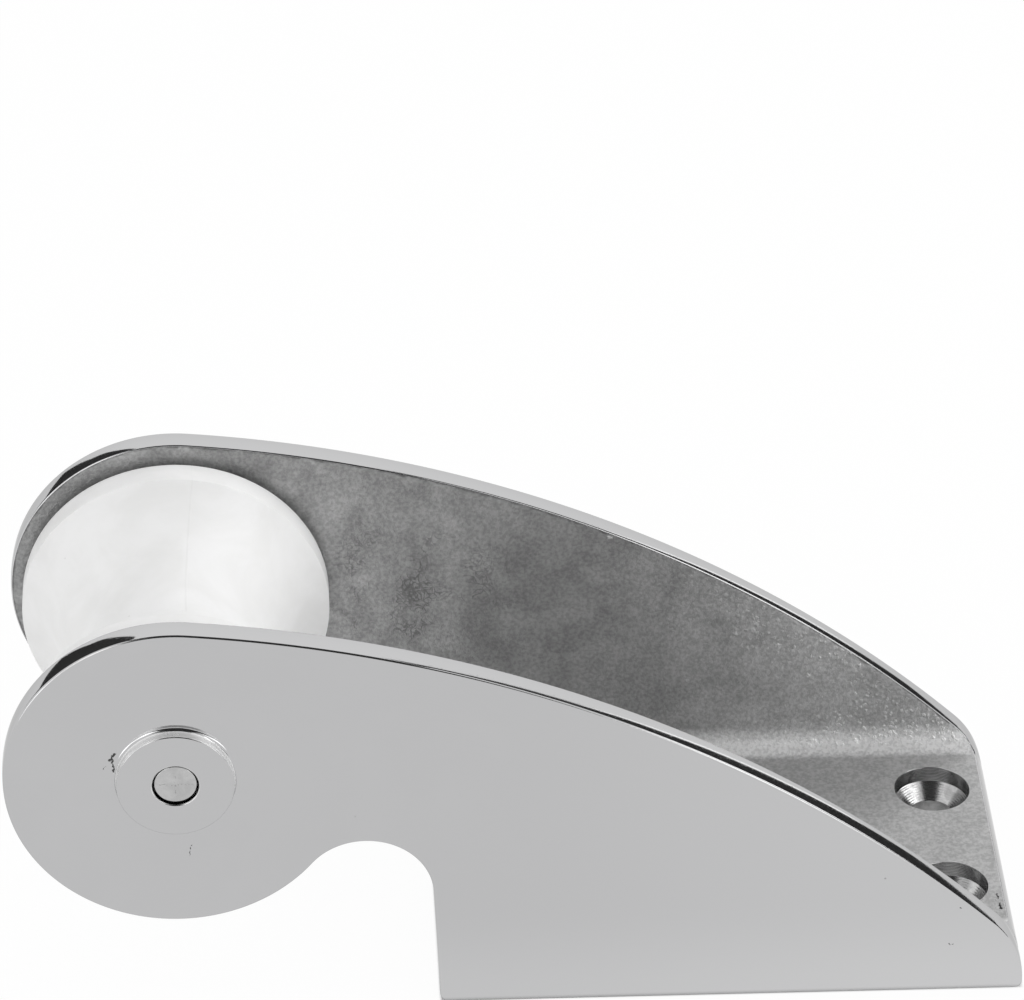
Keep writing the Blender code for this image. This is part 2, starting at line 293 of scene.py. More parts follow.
def makeNick():
    # one short scratch, crack or dent between two points, with a ragged edge
    inputs = {"Vector": (0, 0, 0), "From": (0, 0, 0), "To": (0, 0, 0), "Width": 0.2 * mm}
    tree, given, wanted = newGroup("nick", inputs, ["Mask"])
    ragged = vector2(tree, "SUBTRACT", noise(tree, given["Vector"], 1600.0, 3.0, output=1), (0.5, 0.5, 0.5))
    place = vector2(tree, "ADD", given["Vector"], scaled(tree, ragged, 0.0011))
    toPlace = vector2(tree, "SUBTRACT", place, given["From"])
    along = vector2(tree, "SUBTRACT", given["To"], given["From"])
    reach = vector2(tree, "DOT_PRODUCT", toPlace, along)
    span = vector2(tree, "DOT_PRODUCT", along, along)
    share = put(tree, "Clamp", {0: math2(tree, "DIVIDE", reach, span)})
    distance = vector2(tree, "LENGTH", vector2(tree, "SUBTRACT", toPlace, scaled(tree, along, share)))
    tree.links.new(ramp(tree, math2(tree, "DIVIDE", distance, given["Width"]), 0.5, 1.2, 1.0, 0.0), wanted["Mask"])
    return tree


def makeTurning():
    # fine rings left by the tool, along the given distance
    tree, given, wanted = newGroup("turning", {"Distance": 0.0, "Pitch": 0.3 * mm}, ["Height"])
    phase = math2(tree, "DIVIDE", given["Distance"], given["Pitch"])
    ring = math2(tree, "SINE", times(tree, phase, fullTurn))
    uneven = put(tree, "TexNoise", {"W": phase, "Scale": 0.7, "Detail": 2.0}, noise_dimensions="1D")
    tree.links.new(times(tree, ring, uneven), wanted["Height"])
    return tree


def makeRimDepth():
    # how far a point lies inside the curved outline of the cheeks
    tree, given, wanted = newGroup("rimDepth", {"Vector": (0, 0, 0)}, ["Depth"])
    flat = vector2(tree, "MULTIPLY", given["Vector"], (1.0, 0.0, 1.0))
    nose = vector2(tree, "DISTANCE", flat, (axleX, 0.0, axleZ))
    top = vector2(tree, "DISTANCE", flat, (topCenter.x, 0.0, topCenter.y))
    noseDepth = math2(tree, "SUBTRACT", bracketShape["noseRadius"], nose)
    topDepth = math2(tree, "SUBTRACT", bracketShape["topRadius"], top)
    aft = math2(tree, "GREATER_THAN", coordinates(tree, flat)["X"], axleX)
    tree.links.new(mixed(tree, aft, noseDepth, topDepth), wanted["Depth"])
    return tree


def marks(tree, place, nicks):
    # the strongest of several single blemishes
    mask = 0.0
    for start, stop, width in nicks:
        spot = use(tree, nick, "Mask", Vector=place, From=start, To=stop, Width=width)
        mask = larger(tree, mask, spot)
    return mask


def bumped(tree, shader, layers):
    # stacks (height, depth in metres) layers into the shader's normal
    normal = None
    for height, depth in layers:
        inputs = {"Height": height, "Distance": depth, "Strength": 1.0}
        if normal:
            inputs["Normal"] = normal
        normal = put(tree, "Bump", inputs)
    tree.links.new(normal, shader.inputs["Normal"])


def newMaterial(name):
    material = bpy.data.materials.new(name)
    material.use_nodes = True
    return material, material.node_tree, material.node_tree.nodes["Principled BSDF"]


def newFinish(name):
    # a material that is laid out in Object coordinates
    material, tree, shader = newMaterial(name)
    return material, tree, shader, put(tree, "TexCoord", {}, output=3)


def paintMetal(tree, shader, tone, rough, metallic=1.0):
    gray = put(tree, "CombineColor", {0: tone, 1: tone, 2: tone})
    feed(tree, shader, {"Base Color": gray, "Roughness": rough, "Metallic": metallic})


polishLook = {
    "dark": (0.495, 0.495, 0.50), "light": (0.58, 0.58, 0.585), "edgeTint": (0.7, 0.7, 0.7),
    "roughness": 0.055, "clouds": 22.0,
    "waves": 70.0, "waveDepth": 0.00003, "hairs": 2600.0, "hairDepth": -0.0000015,
    "pits": {"Scale": 170.0, "Size": 0.05, "Amount": 0.16},
    "wornColor": (0.07, 0.07, 0.07), "wornDepth": -0.00004,
    # (from, to, half width) of single blemishes on the port face
    "nicks": [
        ((-0.1227, -0.0375, 0.0626), (-0.1238, -0.0375, 0.0609), 0.27 * mm),
        ((-0.1233, -0.0375, 0.0618), (-0.1230, -0.0375, 0.0582), 0.24 * mm),
        ((-0.1248, -0.0375, 0.0595), (-0.1251, -0.0375, 0.0590), 0.12 * mm),
        ((-0.1083, -0.0375, 0.0402), (-0.1086, -0.0375, 0.0375), 0.09 * mm),
        ((0.0454, -0.0375, 0.0203), (0.0455, -0.0375, 0.0202), 0.14 * mm),
        ((0.0435, -0.0375, 0.0114), (0.0446, -0.0375, 0.0113), 0.10 * mm),
    ],
}


def makePolishedCasting(look):
    material, tree, shader, place = newFinish("polishedCasting")
    cloud = use(tree, castSkin, "Cloud", Vector=place, Grain=300.0, Clouds=look["clouds"])
    wave = noise(tree, place, look["waves"], 1.0)
    stretched = vector2(tree, "MULTIPLY", place, (0.12, 1.0, 1.0))
    hairs = ramp(tree, noise(tree, stretched, look["hairs"], 1.0), 0.66, 0.74)
    dirt = marks(tree, place, look["nicks"])
    pits = use(tree, specks, "Mask", Vector=place, **look["pits"])
    # the sides are painted lighter towards the heel and the foot, a painted brighter reflection, over slow clouds
    # of tone; the rims take the light tone throughout
    parts = coordinates(tree, place)
    aft = ramp(tree, parts["X"], -70.0 * mm, 60.0 * mm)
    low = ramp(tree, parts["Z"], 0.0, 24.0 * mm, 1.0, 0.0)
    side = ramp(tree, math2(tree, "ABSOLUTE", parts["Y"]), outerFace - 0.4 * mm, outerFace - 0.05 * mm)
    cloudsAndPaintedSheen = larger(tree, times(tree, math2(tree, "ADD", aft, low), 0.5),
                   times(tree, cloud, 0.12))
    cloudsAndPaintedSheen = mixed(tree, side, 1.0, cloudsAndPaintedSheen)
    clean = tinted(tree, cloudsAndPaintedSheen, (*look["dark"], 1.0), (*look["light"], 1.0))
    worn = larger(tree, dirt, times(tree, pits, 0.35))
    color = tinted(tree, worn, clean, (*look["wornColor"], 1.0))
    rough = mixed(tree, larger(tree, worn, times(tree, hairs, 0.12)),
                  mixed(tree, cloud, look["roughness"], look["roughness"] * 1.5), 0.5)
    feed(tree, shader, {"Base Color": color, "Specular Tint": (*look["edgeTint"], 1.0), "Roughness": rough,
                        "Metallic": 1.0})
    bumped(tree, shader, [(wave, look["waveDepth"]), (hairs, look["hairDepth"]), (worn, look["wornDepth"])])
    return material


satinLook = {
    "darkest": 0.28, "dark": 0.385, "light": 0.50, "aft": 0.18, "floorDark": 0.435, "floorLight": 0.46,
    "roughness": 0.42,
    "grain": 1300.0, "clouds": 120.0, "patches": 38.0, "peelDepth": 0.0002, "waveDepth": 0.00012,
    "metallic": 0.6,
    "bigGrains": {"Scale": 360.0, "Size": 0.24, "Amount": 0.26},
    "smallGrains": {"Scale": 900.0, "Size": 0.5, "Amount": 0.6},
    "loneGrains": {"Scale": 190.0, "Size": 0.13, "Amount": 0.16},
    "grainAndGlintTone": 0.95, "grainRoughness": 0.22, "grainDepth": 0.00026,
    "fineCracks": {"Scale": 420.0, "Width": 0.09}, "longCracks": {"Scale": 170.0, "Width": 0.035},
    "crackPlace": (-0.0625, 0.0325, 0.050), "crackNear": 10.0 * mm, "crackFar": 29.0 * mm, "crackStrength": 0.42,
    "filletHighlightTone": 1.0, "filletHighlightStrength": 0.92, "stripStrength": 0.55, "markTone": 0.05, "markDepth": -0.00012,
    "nicks": [
        ((0.0530, 0.0325, 0.0106), (0.0533, 0.0325, 0.0104), 0.28 * mm),
        ((0.0567, 0.0325, 0.0096), (0.0569, 0.0325, 0.0094), 0.36 * mm),
        ((0.0560, 0.0318, 0.0112), (0.0562, 0.0310, 0.0112), 0.4 * mm),
        ((0.0552, -0.0205, 0.0112), (0.0553, -0.0222, 0.0112), 0.16 * mm),
        ((0.0554, -0.0238, 0.0112), (0.0555, -0.0258, 0.0112), 0.22 * mm),
        ((0.0546, -0.0227, 0.0112), (0.0547, -0.0230, 0.0112), 0.15 * mm),
    ],
}


def makeSatinCasting(look):
    material, tree, shader, place = newFinish("satinCasting")
    parts = coordinates(tree, place)
    depth = use(tree, rimDepth, "Depth", Vector=place)
    peel = use(tree, castSkin, "Peel", Vector=place, Grain=look["grain"], Clouds=60.0)
    cloud = use(tree, castSkin, "Cloud", Vector=place, Grain=100.0, Clouds=look["clouds"])
    patches = use(tree, castSkin, "Cloud", Vector=place, Grain=100.0, Clouds=look["patches"])
    floor = ramp(tree, parts["Z"], 11.4 * mm, 14.5 * mm, 1.0, 0.0)      # the ground-down base
    wall = math2(tree, "SUBTRACT", 1.0, floor)
    aft = ramp(tree, parts["X"], -30.0 * mm, 45.0 * mm)
    # grains of sand thick towards the heel, and thickest low down
    uneven = scaled(tree, noise(tree, place, 1300.0, 2.0, output=1), 0.0011)
    grainPlace = vector2(tree, "ADD", place, uneven)
    big = use(tree, specks, "Mask", Vector=grainPlace, **look["bigGrains"])
    small = use(tree, specks, "Mask", Vector=grainPlace, **look["smallGrains"])
    gather = ramp(tree, noise(tree, place, 110.0, 3.0), 0.38, 0.6)
    lowDown = times(tree, ramp(tree, parts["Z"], 14.0 * mm, 32.0 * mm, 1.0, 0.0),
                    ramp(tree, parts["X"], 0.0, 35.0 * mm))
    gather = larger(tree, gather, times(tree, lowDown, 0.9))
    grains = times(tree, larger(tree, times(tree, big, gather),
                                           times(tree, small, times(tree, gather, 0.6))),
                   times(tree, aft, wall))
    # and a few lone ones further forward
    lone = use(tree, specks, "Mask", Vector=grainPlace, **look["loneGrains"])
    lone = times(tree, lone, ramp(tree, parts["X"], -45.0 * mm, -10.0 * mm))
    grains = larger(tree, grains, times(tree, lone, wall))
    # cracks in the skin just aft of the roller
    fromCracks = vector2(tree, "DISTANCE", place, look["crackPlace"])
    fineCracks = use(tree, veins, "Mask", Vector=place, **look["fineCracks"])
    longCracks = use(tree, veins, "Mask", Vector=place, **look["longCracks"])
    cracks = times(tree, larger(tree, fineCracks, longCracks),
                   ramp(tree, fromCracks, look["crackNear"], look["crackFar"], 1.0, 0.0))
    # a ragged darker strip along the curved top edge of the cheeks
    ragged = noise(tree, place, 420.0, 3.0)
    strip = ramp(tree, math2(tree, "ADD", depth, times(tree, ragged, -1.5 * mm)),
                 -0.5 * mm, 0.1 * mm, 1.0, 0.0)
    strip = times(tree, strip, wall)
    holes = marks(tree, place, look["nicks"])
    dark = larger(tree, times(tree, cracks, look["crackStrength"]),
                 larger(tree, holes, times(tree, strip, look["stripStrength"])))
    tone = mixed(tree, patches, mixed(tree, cloud, look["darkest"], look["dark"]),
                 mixed(tree, cloud, look["dark"], look["light"]))
    # painted light: the inner faces are painted lighter towards the heel
    tone = math2(tree, "ADD", tone, ramp(tree, parts["X"], -25.0 * mm, 45.0 * mm, 0.0, look["aft"]))
    tone = mixed(tree, floor, tone, mixed(tree, cloud, look["floorDark"], look["floorLight"]))
    # a painted highlight along the fillet
    fillet = times(tree, ramp(tree, math2(tree, "ABSOLUTE", parts["Y"]), 28.6 * mm, 31.2 * mm),
                   ramp(tree, parts["Z"], 14.2 * mm, 17.8 * mm, 1.0, 0.0))
    tone = mixed(tree, times(tree, fillet, look["filletHighlightStrength"]), tone, look["filletHighlightTone"])
    tone = times(tree, tone, ramp(tree, peel, 0.38, 0.62, 0.85, 1.15))
    # the grains are painted light: real sand grains, whose light tone is also a painted highlight on their tops
    tone = mixed(tree, times(tree, grains, 0.8), tone, look["grainAndGlintTone"])
    tone = mixed(tree, dark, tone, look["markTone"])
    rough = mixed(tree, cloud, look["roughness"] + 0.08, look["roughness"])
    rough = mixed(tree, grains, rough, look["grainRoughness"])
    paintMetal(tree, shader, tone, mixed(tree, dark, rough, 0.75), look["metallic"])
    relief = mixed(tree, floor, peel, 0.5)
    slow = noise(tree, place, 150.0, 2.0)
    bumped(tree, shader, [(slow, look["waveDepth"]), (relief, look["peelDepth"]), (grains, look["grainDepth"]),
                          (dark, look["markDepth"])])
    return material


turnedLook = {"dark": 0.42, "light": 0.68, "roughness": 0.16, "pitch": 0.38 * mm, "ringDepth": 0.00001}


def makeTurnedSteel(look):
    material, tree, shader, place = newFinish("turnedSteel")
    parts = coordinates(tree, place)
    # rings run along Y in the bosses and along Z in the base
    inBase = math2(tree, "LESS_THAN", parts["Z"], 15.0 * mm)
    distance = mixed(tree, inBase, parts["Y"], parts["Z"])
    rings = use(tree, turning, "Height", Distance=distance, Pitch=look["pitch"])
    cloud = use(tree, castSkin, "Cloud", Vector=place, Grain=900.0, Clouds=260.0)
    tone = mixed(tree, cloud, look["dark"], look["light"])
    rough = mixed(tree, cloud, look["roughness"] * 1.4, look["roughness"])
    paintMetal(tree, shader, tone, rough)
    bumped(tree, shader, [(rings, look["ringDepth"])])
    return material


bossHighlightLook = {
    "dark": 0.90, "light": 0.96, "roughness": 0.24, "metallic": 0.4, "pitch": 0.25 * mm, "ringDepth": 0.000002,
}


def makeBossWallPaintedHighlight(look):
    # the turned wall of a boss, painted near white as a painted bright reflection, and a little softer than the
    # polished faces
    material, tree, shader, place = newFinish("bossWallPaintedHighlight")
    cloud = use(tree, castSkin, "Cloud", Vector=place, Grain=900.0, Clouds=180.0)
    rings = use(tree, turning, "Height", Distance=coordinates(tree, place)["Y"], Pitch=look["pitch"])
    tone = mixed(tree, cloud, look["dark"], look["light"])
    rough = mixed(tree, cloud, look["roughness"] * 1.3, look["roughness"])
    paintMetal(tree, shader, tone, rough, look["metallic"])
    bumped(tree, shader, [(rings, look["ringDepth"])])
    return material


nylonLook = {
    "dark": (0.80, 0.80, 0.795), "light": (0.85, 0.85, 0.85), "roughness": 0.36, "peelDepth": 0.00001,
    "gloss": 0.35, "milk": 0.12, "milkDepth": (0.004, 0.004, 0.0038),
    "seamAngle": math.radians(7.5), "seamStrength": 0.07, "seamDepth": 0.000012,
    "dirt": {"Scale": 150.0, "Size": 0.045, "Amount": 0.2}, "dirtStrength": 0.35, "dirtColor": (0.3, 0.29, 0.27),
}


def makeWhiteNylon(look):
    material, tree, shader, place = newFinish("whiteNylon")
    cloud = use(tree, castSkin, "Cloud", Vector=place, Grain=500.0, Clouds=70.0)
    peel = use(tree, castSkin, "Peel", Vector=place, Grain=900.0, Clouds=70.0)
    # the mould's parting line runs along the roller
    fromAxle = vector2(tree, "SUBTRACT", place, (axleX, 0.0, axleZ - rollerShape["drop"]))
    seamTurn = look["seamAngle"]
    side = vector2(tree, "DOT_PRODUCT", fromAxle, (math.cos(seamTurn), 0.0, -math.sin(seamTurn)))
    seam = ramp(tree, math2(tree, "ABSOLUTE", side), 0.05 * mm, 0.3 * mm, 1.0, 0.0)
    faint = ramp(tree, noise(tree, place, 130.0, 2.0), 0.4, 0.65)
    dirt = use(tree, specks, "Mask", Vector=place, **look["dirt"])
    clean = tinted(tree, cloud, (*look["dark"], 1.0), (*look["light"], 1.0))
    brokenSeam = times(tree, seam, faint)
    soiled = larger(tree, times(tree, dirt, look["dirtStrength"]),
                   times(tree, brokenSeam, look["seamStrength"]))
    color = tinted(tree, soiled, clean, (*look["dirtColor"], 1.0))
    rough = mixed(tree, cloud, look["roughness"], look["roughness"] + 0.1)
    feed(tree, shader, {"Base Color": color, "Roughness": rough, "Specular IOR Level": look["gloss"],
                        "Subsurface Weight": look["milk"], "Subsurface Radius": look["milkDepth"]})
    bumped(tree, shader, [(peel, look["peelDepth"]), (seam, look["seamDepth"])])
    return material


screwLook = {
    "dark": 0.44, "light": 0.52, "roughness": 0.12, "pitch": 0.35 * mm, "ringDepth": 0.0000025,
    "markStrength": 0.35, "markTone": 0.18, "markDepth": -0.00003,
    # a faint cross scribed on the threaded end, as (from, to, half width)
    "nicks": [
        ((-0.1145, -0.0391, 0.0560), (-0.1075, -0.0391, 0.0560), 0.07 * mm),
        ((-0.1110, -0.0391, 0.0540), (-0.1110, -0.0391, 0.0580), 0.07 * mm),
    ],
}


def makeScrewSteel(look):
    material, tree, shader, place = newFinish("screwSteel")
    cloud = use(tree, castSkin, "Cloud", Vector=place, Grain=900.0, Clouds=240.0)
    fromAxle = vector2(tree, "SUBTRACT", place, (axleX, 0.0, axleZ))
    radius = vector2(tree, "LENGTH", vector2(tree, "MULTIPLY", fromAxle, (1.0, 0.0, 1.0)))
    rings = use(tree, turning, "Height", Distance=radius, Pitch=look["pitch"])
    cross = marks(tree, place, look["nicks"])
    clean = mixed(tree, cloud, look["dark"], look["light"])
    tone = mixed(tree, times(tree, cross, look["markStrength"]), clean, look["markTone"])
    rough = mixed(tree, cloud, look["roughness"] * 1.4, look["roughness"])
    paintMetal(tree, shader, tone, rough)
    bumped(tree, shader, [(rings, look["ringDepth"]), (cross, look["markDepth"])])
    return material


washerLook = {"dark": (0.72, 0.72, 0.70), "light": (0.80, 0.80, 0.78), "roughness": 0.4, "peelDepth": 0.000015}


def makeWasherPlastic(look):
    material, tree, shader, place = newFinish("washerPlastic")
    cloud = use(tree, castSkin, "Cloud", Vector=place, Grain=800.0, Clouds=150.0)
    peel = use(tree, castSkin, "Peel", Vector=place, Grain=1500.0, Clouds=150.0)
    color = tinted(tree, cloud, (*look["dark"], 1.0), (*look["light"], 1.0))
    rough = mixed(tree, cloud, look["roughness"], look["roughness"] * 1.3)
    feed(tree, shader, {"Base Color": color, "Roughness": rough})
    bumped(tree, shader, [(peel, look["peelDepth"])])
    return material


bracketShape = {
    "axleToHeel": 170.0 * mm, "baseLength": 118.0 * mm, "axleHeight": 56.0 * mm,
    "noseRadius": 34.0 * mm, "topRadius": 268.0 * mm, "heelHeight": 9.9 * mm, "heelRadius": 20.0 * mm,
    "frontHeight": 27.3 * mm, "frontDraft": math.radians(3.0),
    "insideWidth": 65.0 * mm, "cheek": 5.0 * mm, "base": 11.2 * mm,
    "floorFillet": 3.5 * mm, "lipRadius": 2.5 * mm,
    "footRound": 1.5 * mm,          # lower corners, seen from the side
    "rimRound": 0.38 * mm,          # outer edge of the rims
    "innerRound": 0.2 * mm,         # inner edge of the rims
    "crown": 0.17 * mm,             # the polished rims fall away to the outer edge
    "innerCrown": 0.12 * mm,         # and less to the inner edge
    "crownWidth": 2.9 * mm,         # from the outer face to where the rim is level
    "noseSteps": 160, "archSteps": 60, "topSteps": 70, "heelSteps": 24, "filletSteps": 12, "rimSteps": 7,
}
bossShape = {
    "radius": 11.65 * mm, "height": 2.2 * mm, "round": 0.28 * mm, "fillet": 1.0 * mm, "footSink": 0.01 * mm,
    "boreRound": 0.25 * mm, "tappedBore": 4.6 * mm, "headBore": 8.25 * mm, "shankBore": 6.3 * mm,
    "headFloor": 5.3 * mm,          # counterbore below the boss face
    "steps": 160, "wallBelow": 0.55,        # faces that point along Y less than this are wall
}
holeShape = {
    "inset": 13.0 * mm, "spacing": 34.0 * mm, "radius": 4.8 * mm, "sinkRadius": 7.8 * mm,
    "sinkDepth": 3.4 * mm, "mouthRound": 0.15 * mm, "steps": 96,
}
rollerShape = {
    "radius": 31.5 * mm, "waist": 19.3 * mm, "end": 30.9 * mm, "land": 6.2 * mm, "edge": 0.8 * mm,
    "bore": 7.2 * mm, "boreRound": 0.4 * mm, "drop": 0.9 * mm, "steps": 192, "hollowSteps": 72,
}

rearX = bracketShape["baseLength"] / 2
frontX = -rearX
axleX = rearX - bracketShape["axleToHeel"]
axleZ = bracketShape["axleHeight"]
innerFace = bracketShape["insideWidth"] / 2
outerFace = innerFace + bracketShape["cheek"]
bossFace = outerFace + bossShape["height"]
outside = 20.0 * mm                 # how far cutting tools stand out


def findTopCenter(shape):
    # the long arc touches the nose and meets the heel face at its height
    axle = Vector((axleX, axleZ))
    heel = Vector((rearX, shape["heelHeight"]))
    inner = shape["topRadius"] - shape["noseRadius"]
    span = (heel - axle).length
    along = (span ** 2 + inner ** 2 - shape["topRadius"] ** 2) / (2 * span)
    aside = math.sqrt(inner ** 2 - along ** 2)
    line = (heel - axle).normalized()
    return axle + line * along + Vector((line.y, -line.x)) * aside


topCenter = findTopCenter(bracketShape)
castSkin, specks, veins, nick = makeCastSkin(), makeSpecks(), makeVeins(), makeNick()
turning, rimDepth = makeTurning(), makeRimDepth()
polishedCasting = makePolishedCasting(polishLook)
satinCasting = makeSatinCasting(satinLook)
turnedSteel = makeTurnedSteel(turnedLook)
bossWallPaintedHighlight = makeBossWallPaintedHighlight(bossHighlightLook)
whiteNylon = makeWhiteNylon(nylonLook)
screwSteel = makeScrewSteel(screwLook)
washerPlastic = makeWasherPlastic(washerLook)
print("finishes mixed")


def frontAt(height):
    return frontX - height * math.tan(bracketShape["frontDraft"])


def polar(point, center):
    return math.atan2(point[1] - center[1], point[0] - center[0])


def bracketOutline(shape):
    # side view: up the front face, over the arch, round the nose, down the long arc to the heel
    axle = Vector((axleX, axleZ))
    draft = shape["frontDraft"]
    r = shape["footRound"]
    frontFoot = Vector((frontAt(r * (1 - math.sin(draft))) + r * math.cos(draft), r))
    springing = Vector((frontAt(shape["frontHeight"]), shape["frontHeight"]))
    ahead = Vector((-math.cos(draft), -math.sin(draft)))
    reach = springing - axle
    archRadius = ((reach.length_squared - shape["noseRadius"] ** 2)
                  / (2 * (shape["noseRadius"] - reach.dot(ahead))))
    arch = springing + ahead * archRadius

    top = topCenter
    heelX = rearX - shape["heelRadius"]
    heelZ = top.y + math.sqrt((shape["topRadius"] - shape["heelRadius"]) ** 2 - (heelX - top.x) ** 2)
    heelRound = Vector((heelX, heelZ))
    meetArch = polar(arch, axle)
    meetTop = polar(axle, top)
    meetHeel = polar(heelRound, top)
    strokes = [
        (frontFoot, draft - math.pi / 2, 6), springing,
        (arch, meetArch + math.pi - draft, shape["archSteps"]),
        (axle, meetTop - meetArch - fullTurn, shape["noseSteps"]),
        (top, meetHeel - meetTop, shape["topSteps"]),
        (heelRound, -meetHeel, shape["heelSteps"]),
        Vector((rearX, r)), (Vector((rearX - r, r)), -math.pi / 2, 6),
    ]
    return Vector((frontFoot.x, 0.0)), strokes


def channelOutline(shape):
    # all that is open between the cheeks: above the base and ahead of it
    low, high, ahead = -outside, axleZ + shape["noseRadius"] + outside, axleX - shape["noseRadius"] - outside
    lipZ = shape["base"] - shape["lipRadius"]
    lip = Vector((frontAt(lipZ) + shape["lipRadius"] / math.cos(shape["frontDraft"]), lipZ))
    lipStart = lip + Vector((-math.cos(shape["frontDraft"]), -math.sin(shape["frontDraft"]))) * shape["lipRadius"]
    strokes = [
        Vector((frontAt(low), low)), lipStart,
        (lip, -(math.pi / 2 + shape["frontDraft"]), 12),
        Vector((rearX + outside, shape["base"])), Vector((rearX + outside, high)), Vector((ahead, high)),
    ]
    return Vector((ahead, low)), strokes


def roundChannel(bm, shape):
    # rounds the tool's long edges where it meets the base, which leaves the fillets in the casting
    edges = []
    for edge in bm.edges:
        a, b = (v.co for v in edge.verts)
        if abs(a.y - b.y) > mm:
            continue
        if max(a.z, b.z) < shape["base"] + 0.01 * mm and min(a.x, b.x) > frontX - 2 * mm:
            edges.append(edge)
    bmesh.ops.bevel(bm, geom=edges, offset=shape["floorFillet"], offset_type="OFFSET",
                    segments=shape["filletSteps"], profile=0.5, affect="EDGES", clamp_overlap=False, material=-1)


def rimStations(shape):
    # places across the bracket: close together in the rounded edges, then over the crowned rims
    rim, width = shape["rimRound"], shape["cheek"] - shape["innerRound"] - 0.2 * mm
    depths = [rim * (1 - math.cos(i / shape["rimSteps"] * math.pi / 2)) for i in range(shape["rimSteps"] + 1)]
    depths += [rim + (width - rim) * (i / 10) ** 1.3 for i in range(1, 11)]
    depths += [shape["cheek"] + 0.6 * mm, shape["cheek"] + 2 * mm]
    return [-outerFace + depth for depth in depths] + [outerFace - depth for depth in reversed(depths)]


def shapeRims(bm, shape):
    # draws every ring of the prism in by the rounding of its edge and the crown of its rim
    rim, width = shape["rimRound"], shape["crownWidth"]
    bm.normal_update()
    moves = {}
    for vert in bm.verts:
        depth = outerFace - abs(vert.co.y)
        rounding = rim - math.sqrt(max(0.0, rim ** 2 - (rim - depth) ** 2)) if depth < rim else 0.0
        crown = shape["crown"] * (max(0.0, width - depth) / width) ** 2
        if width < depth < shape["cheek"] + mm:
            crown = shape["innerCrown"] * ((depth - width) / (shape["cheek"] - width)) ** 2
        out = sum((face.normal for face in vert.link_faces if abs(face.normal.y) < 0.7), Vector())
        out = Vector((out.x, 0.0, out.z)).normalized()
        moves[vert] = -out * (rounding + crown * min(1.0, 1.0 + out.z))
    for vert, move in moves.items():
        vert.co += move


def cornerEdges(bm, angle):
    # outward corners sharper than the angle
    return [edge for edge in bm.edges
            if len(edge.link_faces) == 2 and edge.calc_face_angle_signed() > math.radians(angle)]


def bossStrokes(shape):
    radius, foot = shape["radius"], shape["radius"] + shape["fillet"]
    edge = (radius - shape["round"], bossFace - shape["round"])
    fillet = (foot, outerFace + shape["fillet"] - shape["footSink"])
    root = outerFace - bracketShape["cheek"] / 2
    return (0.0, bossFace), [
        (edge[0], bossFace), (edge, -math.pi / 2, 8), (radius, fillet[1]), (fillet, math.pi / 2, 10),
        (foot, root), (0.0, root),
    ]


def boreStrokes(steps):
    # a stepped bore from the boss face inwards, as (radius, floor) pairs, with a rounded mouth
    r = bossShape["boreRound"]
    first = steps[0][0]
    strokes = [(first + r, bossFace + outside), (first + r, bossFace),
               ((first + r, bossFace - r), math.pi / 2, 6)]
    mouth = bossFace
    for radius, floor in steps:
        if mouth < bossFace:
            strokes += [(radius + r, mouth), (radius, mouth - r)]
        strokes.append((radius, floor))
        mouth = floor
    return (0.0, bossFace + outside), strokes + [(0.0, mouth)]


def holeStrokes(shape):
    # straight wall, 90 degree cone, through hole
    top = bracketShape["base"]
    sink, hole, r = shape["sinkRadius"], shape["radius"], shape["mouthRound"]
    wallFoot = top - shape["sinkDepth"]
    return (0.0, top + outside), [
        (sink + r, top + outside), (sink + r, top), ((sink + r, top - r), math.pi / 2, 4),
        (sink, wallFoot), (hole, wallFoot - (sink - hole)), (hole, -outside), (0.0, -outside),
    ]


def makeBracket():
    start, strokes = bracketOutline(bracketShape)
    bm = extrudedSolid(start, strokes, rimStations(bracketShape))
    shapeRims(bm, bracketShape)
    bracket = newPiece("bracketCasting", bm, polishedCasting)
    start, strokes = channelOutline(bracketShape)
    tool = extrudedSolid(start, strokes, [-innerFace, innerFace])
    roundChannel(tool, bracketShape)
    combine(bracket, [newPiece("channelTool", tool, satinCasting)], "DIFFERENCE")

    bm = bmesh.new()
    bm.from_mesh(bracket.data)
    bmesh.ops.remove_doubles(bm, verts=bm.verts, dist=mergeDistance)
    polished = bracket.data.materials.find("polishedCasting")
    rounded = bmesh.ops.bevel(bm, geom=cornerEdges(bm, 24.0), offset=bracketShape["innerRound"],
                              offset_type="OFFSET", segments=4, profile=0.5,
                              affect="EDGES", clamp_overlap=False, material=-1)
    for face in rounded["faces"]:
        face.material_index = polished
    bmesh.ops.recalc_face_normals(bm, faces=bm.faces)
    bm.to_mesh(bracket.data)
    bm.free()

    bosses, bores, holes = [], [], []
    halfStep = fullTurn / bossShape["steps"] / 2
    floor = bossFace - bossShape["headFloor"]
    through = innerFace - outside / 2
    boreSteps = {-1: [(bossShape["tappedBore"], through)],
                 1: [(bossShape["headBore"], floor), (bossShape["shankBore"], through)]}
    for outward in (-1, 1):
        place = across(axleX, axleZ, outward)
        boss = turnedSolid(*bossStrokes(bossShape), bossShape["steps"], place)
        for face in boss.faces:
            face.material_index = int(abs(face.normal.y) < bossShape["wallBelow"])
        bosses.append(newPiece("bossTool", boss, polishedCasting, bossWallPaintedHighlight))
        bores.append(newPiece("boreTool", turnedSolid(*boreStrokes(boreSteps[outward]), bossShape["steps"],
                                                      place, halfStep), turnedSteel))
    for x in (frontX + holeShape["inset"], rearX - holeShape["inset"]):
        for y in (-holeShape["spacing"] / 2, holeShape["spacing"] / 2):
            place = Matrix.Translation((x, y, 0.0))
            holes.append(newPiece("holeTool", turnedSolid(*holeStrokes(holeShape), holeShape["steps"], place),
                                  turnedSteel))
    combine(bracket, bosses, "UNION")
    combine(bracket, bores + holes, "DIFFERENCE")
    finishEdges(bracket)
    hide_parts("cast_bracket")
    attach(bracket, "bracket")
    return bracket


bracket = makeBracket()
print("bracket cast:", len(bracket.data.polygons), "faces")


